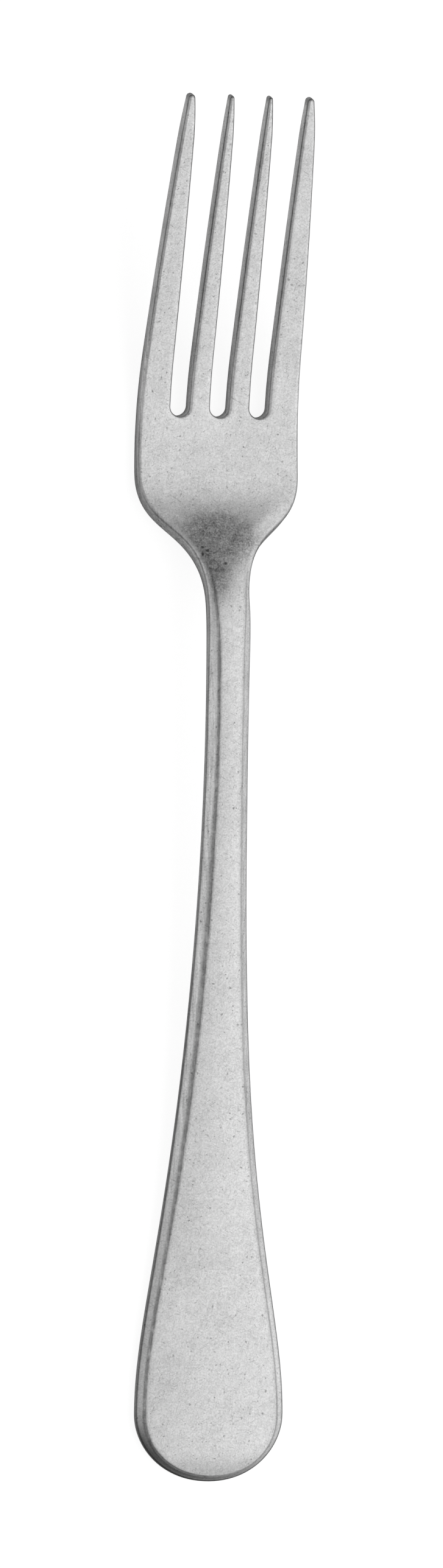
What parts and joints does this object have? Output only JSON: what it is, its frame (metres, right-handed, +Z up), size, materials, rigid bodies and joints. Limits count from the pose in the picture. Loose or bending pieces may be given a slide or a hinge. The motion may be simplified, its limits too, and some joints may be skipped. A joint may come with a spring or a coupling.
{
  "type": "dessert fork",
  "caption": "Solid steel dessert fork with a flared handle, raised bordered panel, arched neck and tapered upswept tines.",
  "frame": {"origin": "on the table under the middle of the fork's bounding box, with the fork lying face up", "axes": "+Y along the fork from the handle end to the tine tips, +X across it to the right seen from the handle end, +Z up"},
  "size_m": [0.0226, 0.1849, 0.0155],
  "materials": {
    "steel": "stonewashed stainless steel: tumbled satin with fine pits and soft scuffs, darker along the panel's step"
  },
  "bodies": {
    "root": {"dessert_fork": "steel"}
  },
  "joints": []
}
